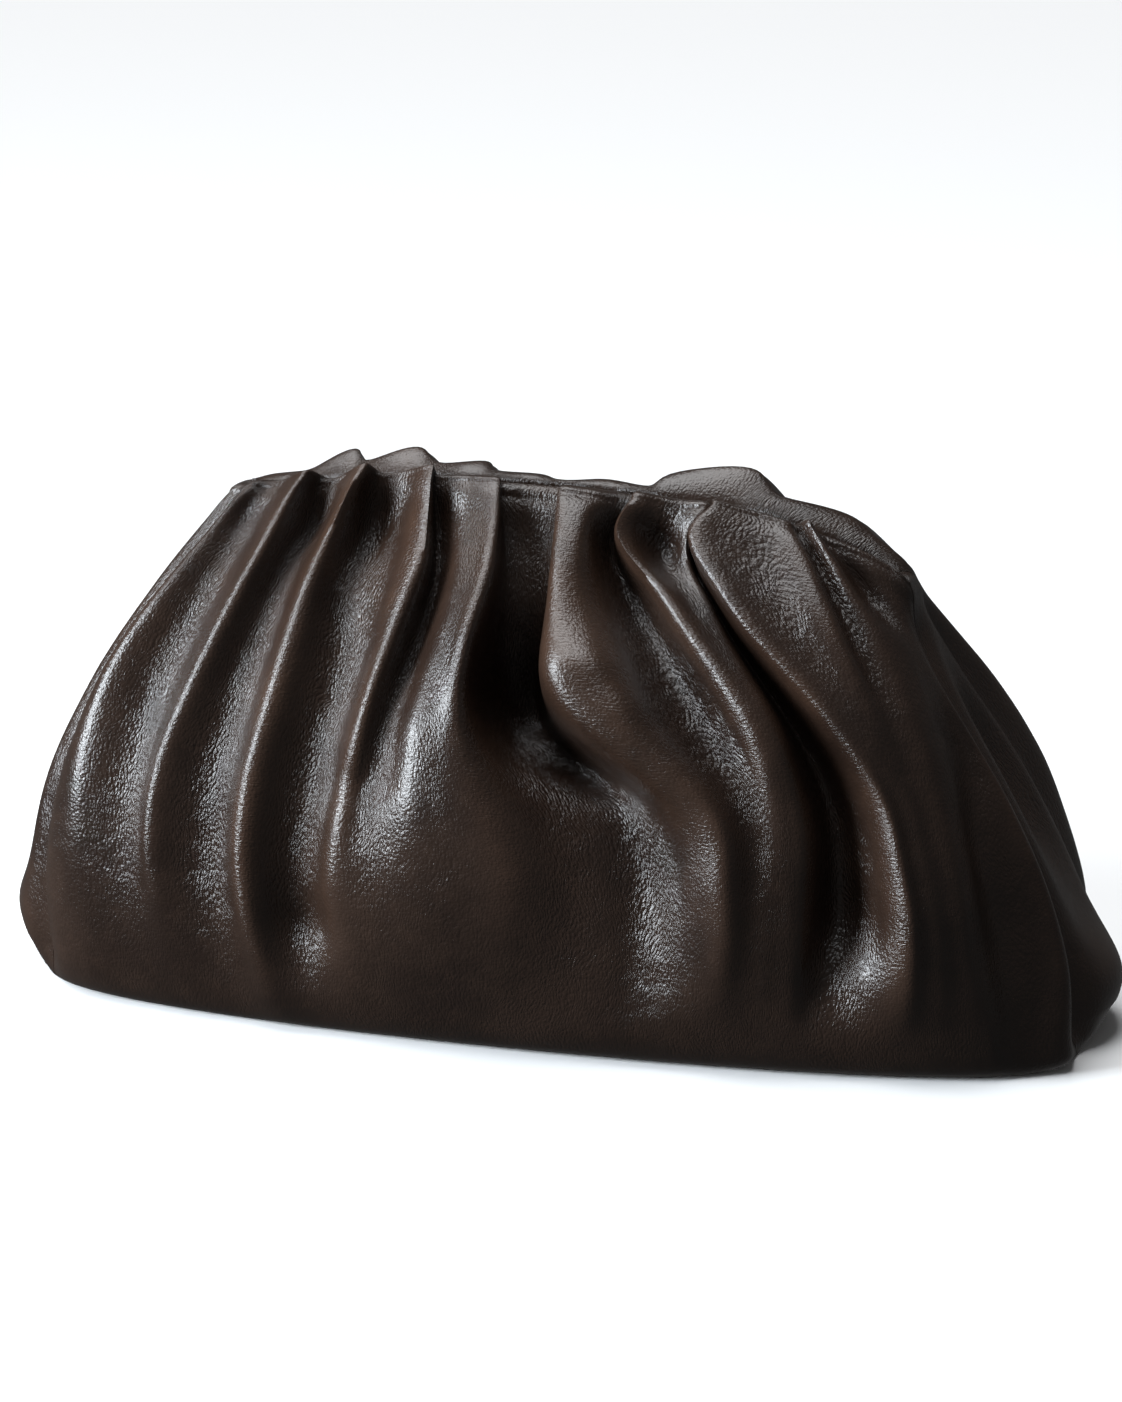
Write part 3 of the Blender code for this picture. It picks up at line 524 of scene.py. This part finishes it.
worn = shade.node("TexNoise", {}, {"Vector": on_bag, "Scale": 160.0, "Detail": 3.0, "Roughness": 0.6})
body = mix_colour(shade, soft.clipped(0.35, 0.70), LEATHER_DARK, LEATHER_MIDDLE)
# Painted light on the crests: the raised folds are tinted lighter and warmer, partly as burnished wear and
# partly as a painted highlight; the worn noise adds random lighter patches of wear
lit_crest_and_wear = crest * 0.35 * soft.clipped(0.3, 0.6) + worn.clipped(0.5, 0.8) * 0.15
coloured = mix_colour(shade, lit_crest_and_wear, body, LEATHER_LIT_CREST_AND_WEAR)
wrinkled = (1.0 - wrinkle) * 0.9 + fine * 0.5
relief = wrinkled * (0.15 + 0.75 * hollow) + pucker * (0.15 + 0.4 * crest) + (1.0 - pebble) * 0.26
bump = shade.node("Bump", {}, {"Height": relief, "Strength": 1.0, "Distance": GRAIN_RELIEF})
rough = 0.19 + worn * 0.10
principled(brown_leather, shade, {"Specular IOR Level": 0.5},
           {"Base Color": coloured, "Roughness": rough, "Normal": bump})

front_rows, front_place, front_fold = panel_rows(
    FRONT_FOLDS, FRONT_PUSHES, FRONT, FRONT_COLUMNS, CREASE_SEED, FRONT_CREASES)

# Back panel. A second piece of the same leather with its own gathers, whose pleat tops
# stand in rounded humps just above and behind the front rim.
BACK_COLUMNS = 170
BACK_CREASES = 160
BACK_FOLDS = (
    ((-0.9, -0.9, -0.9, -0.9, -0.9, -0.9, -0.9, -0.9),
     (0.0, 0.0, 0.0, 0.0, 0.0, 0.0, 0.04, 0.1), -0.3, 0.0, 1.0),
    ((-0.66, -0.66, -0.66, -0.67, -0.68, -0.7, -0.71, -0.72),
     (0.0, 0.2, 0.4, 0.6, 0.6, 0.6, 0.49, 0.3), -0.4, 0.0, 1.1),
    ((-0.55, -0.55, -0.55, -0.56, -0.57, -0.58, -0.589, -0.6),
     (0.0, 0.0, -0.5, -0.6, -0.7, -0.4, -0.14, 0.15), 0.0, 0.0, 0.9),
    ((-0.41, -0.41, -0.42, -0.43, -0.44, -0.45, -0.455, -0.5),
     (0.0, 0.1, 0.4, 0.6, 0.8, 0.8, 0.67, 0.45), 0.95, 0.65, 1.4),
    ((-0.33, -0.33, -0.34, -0.35, -0.36, -0.37, -0.382, -0.44),
     (0.0, -0.1, -0.7, -0.8, -0.8, -0.5, -0.22, 0.1), 0.6, 0.0, 0.8),
    ((-0.21, -0.22, -0.23, -0.25, -0.26, -0.29, -0.296, -0.35),
     (0.0, 0.2, 0.4, 0.7, 0.9, 0.9, 0.75, 0.5), 0.9, 0.65, 1.4),
    ((-0.13, -0.14, -0.15, -0.17, -0.19, -0.21, -0.222, -0.275),
     (0.0, 0.0, -0.3, -0.6, -0.7, -0.5, -0.22, 0.1), 0.4, 0.0, 0.8),
    ((-0.04, -0.05, -0.07, -0.09, -0.11, -0.14, -0.17, -0.2),
     (0.0, 0.1, 0.4, 0.6, 0.8, 0.8, 0.65, 0.4), 0.15, 0.65, 1.4),
    ((0.03, 0.02, 0.0, -0.02, -0.04, -0.07, -0.12, -0.158),
     (0.0, 0.0, -0.4, -0.7, -0.6, -0.5, -0.23, 0.1), -0.05, 0.0, 0.8),
    ((0.11, 0.1, 0.08, 0.06, 0.04, 0.0, -0.04, -0.085),
     (0.0, 0.1, 0.4, 0.6, 0.7, 0.6, 0.42, 0.2), -0.25, 0.65, 1.4),
    ((0.18, 0.17, 0.15, 0.13, 0.11, 0.07, 0.02, -0.03),
     (0.0, -0.1, -0.7, -0.9, -0.8, -0.5, -0.24, 0.05), -0.6, 0.0, 0.8),
    ((0.24, 0.23, 0.22, 0.2, 0.18, 0.14, 0.1, 0.06),
     (0.0, 0.2, 0.4, 0.5, 0.7, 0.6, 0.46, 0.3), -0.35, -0.3, 0.9),
    ((0.31, 0.3, 0.29, 0.27, 0.25, 0.22, 0.17, 0.145),
     (0.0, 0.0, -0.4, -0.6, -0.6, -0.4, -0.17, 0.1), -0.2, 0.0, 0.8),
    ((0.34, 0.335, 0.325, 0.31, 0.3, 0.26, 0.21, 0.17),
     (0.0, 0.1, 0.1, 0.1, 0.2, 0.3, 0.4, 0.4), 0.4, -0.4, 0.7),
    ((0.4, 0.39, 0.38, 0.37, 0.36, 0.34, 0.32, 0.29),
     (0.0, 0.2, 0.5, 0.7, 0.9, 1.0, 0.85, 0.6), 1.45, 0.7, 1.3),
    ((0.5, 0.49, 0.48, 0.47, 0.46, 0.45, 0.42, 0.4),
     (0.0, 0.0, -0.5, -0.8, -0.8, -0.4, -0.11, 0.2), 0.8, 0.0, 0.8),
    ((0.59, 0.58, 0.58, 0.58, 0.58, 0.58, 0.56, 0.54),
     (0.0, 0.1, 0.4, 0.6, 0.7, 0.8, 0.67, 0.45), 0.35, 0.4, 1.1),
    ((0.68, 0.68, 0.68, 0.68, 0.69, 0.7, 0.7, 0.7),
     (0.0, 0.0, -0.3, -0.4, -0.4, -0.2, -0.03, 0.15), 0.35, 0.0, 0.9),
    ((0.78, 0.78, 0.78, 0.78, 0.78, 0.79, 0.795, 0.8),
     (0.0, 0.2, 0.3, 0.4, 0.4, 0.3, 0.25, 0.2), -0.1, 0.0, 1.0),
    ((0.9, 0.9, 0.9, 0.9, 0.9, 0.9, 0.9, 0.9),
     (0.0, 0.0, 0.0, 0.0, 0.0, 0.0, 0.04, 0.1), -0.4, 0.0, 1.0),
)
back_rows, back_place, back_fold = panel_rows(
    BACK_FOLDS, (), BACK, BACK_COLUMNS, CREASE_SEED + 1, BACK_CREASES)

# Gussets. A narrow piece of the leather at each end, tucked in above and drawn out at
# the bottom corner into a soft ear, sewn to both panels.
LEFT, RIGHT = -1, 1
FRONT_LEFT_SEAM, FRONT_RIGHT_SEAM = -0.82, 0.95
BACK_LEFT_SEAM, BACK_RIGHT_SEAM = -0.90, 0.90
EAR_REACH = 0.0105
EAR_HEIGHT = 0.0200
EAR_SPREAD = 0.0165
GUSSET_TUCK = 0.0100
TUCK_HEIGHT = 0.0920
TUCK_SPREAD = 0.0330
GUSSET_COLUMNS = 34


def gusset_rows(end, front_edge, back_edge, front_seam, back_seam):
    """Rows of a gusset's outer face round one end, its hem line, and its folds' shares."""
    up = ROWS_UP[:, None]
    height, half_depth, half_length, fullness, draw = level_at(up)
    y_front = -half_depth * plan_y_share(front_seam, fullness)
    y_back = half_depth * plan_y_share(back_seam, fullness)
    share = np.linspace(0.0, 1.0, GUSSET_COLUMNS + 1)[None, :]
    y = y_front + (y_back - y_front) * share
    x_share = np.sqrt(1 - (np.abs(y) / half_depth) ** (2 / fullness))
    z = raised(height, end * x_share)
    bow = np.sin(np.pi * share)
    ear = EAR_REACH * bow * np.exp(-(((z - EAR_HEIGHT) / EAR_SPREAD) ** 2))
    tuck = GUSSET_TUCK * bow**3 * np.exp(-(((z - TUCK_HEIGHT) / TUCK_SPREAD) ** 2))
    x = drawn_x(half_length, draw, end * x_share)
    x = x + end * (ear - tuck) * np.clip(up / FOOT_BAND, 0.0, 1.0)
    points = np.stack(np.broadcast_arrays(x, y, z), -1)
    shifts = front_edge - points[:, 0], back_edge - points[:, -1]
    for shift, weight in zip(shifts, seam_weights(points)):
        points = points + shift[:, None] * weight[..., None]
    hem_x = end * (half_length[-1] - HEM_INSET) * x_share[-1]
    hem_y = y[-1] + HEM_INSET * (1 - 2 * share[0])
    fold = np.broadcast_to((ear - tuck) / FOLD_HEIGHT, z.shape)
    return points, np.stack([hem_x, hem_y, raised(RIM_HEIGHT, end * x_share[-1])], -1), fold


left_rows, left_hem, left_fold = gusset_rows(
    LEFT, front_rows[:, 0], back_rows[:, 0], FRONT_LEFT_SEAM, BACK_LEFT_SEAM)
right_rows, right_hem, right_fold = gusset_rows(
    RIGHT, front_rows[:, -1], back_rows[:, -1], FRONT_RIGHT_SEAM, BACK_RIGHT_SEAM)
loop = (
    ("front_panel", front_rows, hem_line(front_place[-1], FRONT, HEM_INSET), front_fold),
    ("right_gusset", right_rows, right_hem, right_fold),
    ("back_panel", back_rows[:, ::-1], hem_line(back_place[-1, ::-1], BACK, HEM_INSET), back_fold[:, ::-1]),
    ("left_gusset", left_rows[:, ::-1], left_hem[::-1], left_fold[:, ::-1]),
)
for node, rows, hem, fold in loop:
    leather_panel(node, trimmed(with_rolled_rim(rows, hem)), fold, brown_leather)

# Base panel. A flat, stiffened piece of plainer leather that the bag stands on, sewn
# inside the under edges of the panels.
OUTLINE_POINTS = 240
BASE_EDGE = 0.0005
BASE_DARK = (0.014, 0.009, 0.007, 1.0)
BASE_LIGHT = (0.032, 0.021, 0.016, 1.0)

outline = np.concatenate([rows[0, :-1] for _, rows, _, _ in loop])
steps = np.linalg.norm(np.diff(outline, axis=0, append=outline[:1]), axis=1)
travelled = np.concatenate([[0.0], steps.cumsum()])
marks = np.linspace(0, travelled[-1], OUTLINE_POINTS + 1)[:-1]
closed = np.concatenate([outline, outline[:1]])
outline = np.stack([np.interp(marks, travelled, closed[:, k]) for k in range(3)], 1)
along = np.roll(outline, -1, 0) - np.roll(outline, 1, 0)
inward = unit(np.stack([-along[:, 1], along[:, 0], 0 * along[:, 0]], -1))
outline = outline + inward * (WALL + SEAM_GAP)
outline[:, 2] = 0.0

bpy.ops.object.select_all(action="DESELECT")
bpy.ops.mesh.primitive_circle_add(vertices=len(outline), fill_type="NGON", radius=0.1)
base = bpy.context.object
base.name = base.data.name = "base_leather_panel"
base.data.vertices.foreach_set("co", outline.reshape(-1))
base.data.update()
bpy.ops.object.mode_set(mode="EDIT")
bpy.ops.mesh.select_all(action="SELECT")
bpy.ops.mesh.extrude_region_move(TRANSFORM_OT_translate={"value": (0, 0, WALL)})
bpy.ops.mesh.select_all(action="SELECT")
bpy.ops.mesh.normals_make_consistent(inside=False)
bpy.ops.object.mode_set(mode="OBJECT")
edge = base.modifiers.new("edge", "BEVEL")
edge.width, edge.segments, edge.limit_method = BASE_EDGE, 3, "ANGLE"
bpy.ops.object.modifier_apply(modifier="edge")
bpy.ops.object.shade_smooth_by_angle(angle=math.radians(40))

base_leather, shade = finish_of("base_leather")
on_bag = shade.node("TexCoord", {}, {}, "Object")
cells = shade.node("TexVoronoi", {"feature": "DISTANCE_TO_EDGE"}, {"Vector": on_bag, "Scale": 700.0})
scuffs = shade.node("TexNoise", {}, {"Vector": on_bag, "Scale": 60.0, "Detail": 5.0, "Roughness": 0.65})
coloured = mix_colour(shade, scuffs.clipped(0.45, 0.75), BASE_DARK, BASE_LIGHT)
bump = shade.node("Bump", {}, {"Height": cells.clipped(0.0, 0.3), "Strength": 0.4, "Distance": 0.0004})
principled(base_leather, shade, {},
           {"Base Color": coloured, "Roughness": 0.50 + scuffs * 0.25, "Normal": bump})
base.data.materials.append(base_leather)
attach(base, "root")
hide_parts("base_panel")

# Mouth frame. A flat loop of brushed steel hidden in the rolled rim, which keeps the
# mouth straight and shut.
STEEL_DARK = (0.24, 0.235, 0.23, 1.0)
STEEL_LIGHT = (0.36, 0.35, 0.34, 1.0)

frame_steel, shade = finish_of("frame_steel")
on_bag = shade.node("TexCoord", {}, {}, "Object")
drawn = shade.node("Mapping", {}, {"Vector": on_bag, "Scale": (20.0, 20.0, 2500.0)})
brushed = shade.node("TexNoise", {}, {"Vector": drawn, "Scale": 1.0, "Detail": 3.0})
coloured = mix_colour(shade, brushed.clipped(0.3, 0.7), STEEL_DARK, STEEL_LIGHT)
bump = shade.node("Bump", {}, {"Height": brushed, "Strength": 0.2, "Distance": 0.0001})
principled(frame_steel, shade, {"Metallic": 1.0},
           {"Base Color": coloured, "Roughness": 0.25 + brushed * 0.2, "Normal": bump})
bpy.data.objects["mouth_frame"].material_slots[0].material = frame_steel

# Studio. A plain white floor that runs out to a white background, a tall soft light and
# a smaller one from the front left, a weak one above, and a wide pale light on the floor.
FLOOR_SIZE = 12.0
FLOOR_DROP = 0.0003
FLOOR_LIGHT_POWER = 3.1
FLOOR_LIGHT_SPREAD = math.radians(50)
STUDIO_FILL = 0.10

bpy.ops.object.select_all(action="DESELECT")
bpy.ops.mesh.primitive_plane_add(size=FLOOR_SIZE, location=(0.0, 0.0, -FLOOR_DROP))
floor = bpy.context.object
floor.name = "studio_floor"
floor_white, shade = finish_of("floor_white")
principled(floor_white, shade, {"Base Color": (0.93, 0.93, 0.93, 1.0), "Roughness": 0.6}, {})
floor.data.materials.append(floor_white)
floor.visible_glossy = False
floor.visible_diffuse = False

bpy.ops.object.light_add(type="SUN", location=(-1.4, -0.8, 1.8))
lamp = bpy.context.object
lamp.name = lamp.data.name = "floor_light"
lamp.data.energy, lamp.data.angle = FLOOR_LIGHT_POWER, FLOOR_LIGHT_SPREAD
lamp.data.color = (0.97, 0.985, 1.0)
lamp.rotation_euler = Vector((-0.35, 0.12, 1.0)).to_track_quat("Z", "Y").to_euler()
lamp.data.specular_factor = 0.0

# name, place, width, height and power of each soft light
LIGHTS = (
    ("window_light", (-1.15, -0.80, 0.66), 0.45, 0.95, 38.0),
    ("side_light", (-1.30, -0.60, 0.38), 0.40, 0.45, 9.0),
    ("top_light", (-0.10, -0.35, 1.30), 0.50, 0.50, 1.2),
)
for name, place, width, tall, power in LIGHTS:
    bpy.ops.object.light_add(type="AREA", location=place)
    lamp = bpy.context.object
    lamp.name = lamp.data.name = name
    lamp.data.shape, lamp.data.size, lamp.data.size_y = "RECTANGLE", width, tall
    lamp.data.energy, lamp.data.color = power, (0.87, 0.94, 1.0)
    lamp.rotation_euler = (Vector(place) - Vector((0, 0, 0.08))).to_track_quat("Z", "Y").to_euler()

world = bpy.data.worlds.new("white_studio")
bpy.context.scene.world = world
world.use_nodes = True
world.node_tree.nodes["Background"].inputs["Color"].default_value = (1.0, 1.0, 1.0, 1.0)
world.node_tree.nodes["Background"].inputs["Strength"].default_value = STUDIO_FILL
bpy.context.scene.view_settings.view_transform = "Standard"
